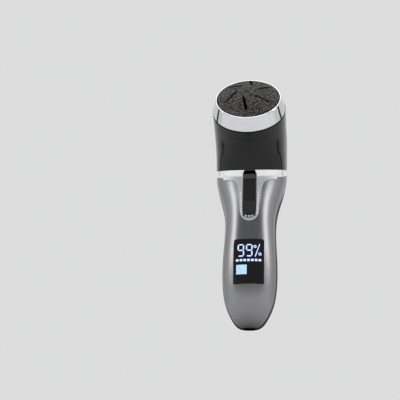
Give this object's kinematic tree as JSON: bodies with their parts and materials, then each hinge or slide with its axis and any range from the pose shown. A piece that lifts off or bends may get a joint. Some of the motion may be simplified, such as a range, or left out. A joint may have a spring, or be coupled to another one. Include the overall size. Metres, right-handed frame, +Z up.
{
  "type": "electric callus remover",
  "caption": "Rechargeable callus remover: curved handle with display and slide switch, bent head with a spinning slotted abrasive dome in a chrome guard ring.",
  "frame": {"origin": "centre of the small flat foot's outline, at the bottom and in the middle of the overall width and depth", "axes": "+Z up along the handle, -Y towards the front where the display and the disc face, X across the width"},
  "size_m": [0.0536, 0.0836, 0.1791],
  "materials": {
    "shell_silver": "satin metallic",
    "shell_dark": "satin",
    "soft_grip": "soft touch",
    "gloss_black": "piano black",
    "chrome_trim": "bright",
    "display_glass": "black glass",
    "black_plastic": "moulded",
    "abrasive_grit": "bonded grit",
    "seal_rubber": "matte",
    "steel_parts": "plated",
    "brass_parts": "bright",
    "board_green": "solder mask",
    "cell_wrap": "shrink wrap",
    "winding_copper": "enamelled",
    "filter_white": "moulded"
  },
  "bodies": {
    "root": {"battery_cell": "cell_wrap", "battery_contacts": "steel_parts", "battery_cradle": "black_plastic", "bezel_beads": "chrome_trim", "bracket_screws": "steel_parts", "case_screws": "steel_parts", "display_module": "black_plastic", "display_window": "display_glass", "dust_chamber": "black_plastic", "field_magnets": "steel_parts", "filter_cartridge": "filter_white", "front_shell": "shell_silver", "grip_sleeve": "soft_grip", "main_board": "board_green", "motor_bracket": "steel_parts", "motor_can": "steel_parts", "motor_end_cap": "black_plastic", "motor_leads": "seal_rubber", "motor_terminals": "brass_parts", "neck_collar": "gloss_black", "neck_cover": "gloss_black", "rear_shell": "shell_dark", "ring_seal": "seal_rubber", "shaft_seal": "seal_rubber", "slide_switch": "black_plastic", "spindle_bush": "brass_parts", "trim_bezel": "chrome_trim", "usb_socket": "steel_parts"},
    "spindle": {"motor_shaft": "steel_parts", "rotor": "winding_copper", "commutator": "brass_parts", "impeller": "black_plastic", "drive_hub": "black_plastic", "hub_magnet": "steel_parts"},
    "disc": {"abrasive_disc": "abrasive_grit", "disc_backing": "black_plastic", "keeper_plate": "steel_parts"},
    "ring": {"guard_ring": "chrome_trim"},
    "slider": {"slider_button": "black_plastic", "switch_knob": "black_plastic"},
    "vent": {"vent_cover": "shell_dark"},
    "port_flap": {"port_cover": "soft_grip"}
  },
  "joints": [
    {"name": "disc_spin", "type": "hinge", "parent": "root", "child": "spindle", "pos_m": [0, -0.0217, 0.1533], "axis": [0, -0.9367, 0.3502], "continuous": true},
    {"name": "disc_release", "type": "slide", "parent": "spindle", "child": "disc", "axis": [0, -0.9367, 0.3502], "range_m": [0, 0.012]},
    {"name": "ring_release", "type": "slide", "parent": "root", "child": "ring", "axis": [0, -0.9367, 0.3502], "range_m": [0, 0.016]},
    {"name": "switch_travel", "type": "slide", "parent": "root", "child": "slider", "axis": [0, 0, 1], "range_m": [0, 0.003]},
    {"name": "vent_cover_release", "type": "slide", "parent": "root", "child": "vent", "axis": [0, 0.6559, 0.7549], "range_m": [0, 0.01]},
    {"name": "port_cover_swing", "type": "hinge", "parent": "root", "child": "port_flap", "pos_m": [0, 0.0266, 0.0051], "axis": [1, 0, 0], "range_deg": [0, 115]}
  ]
}
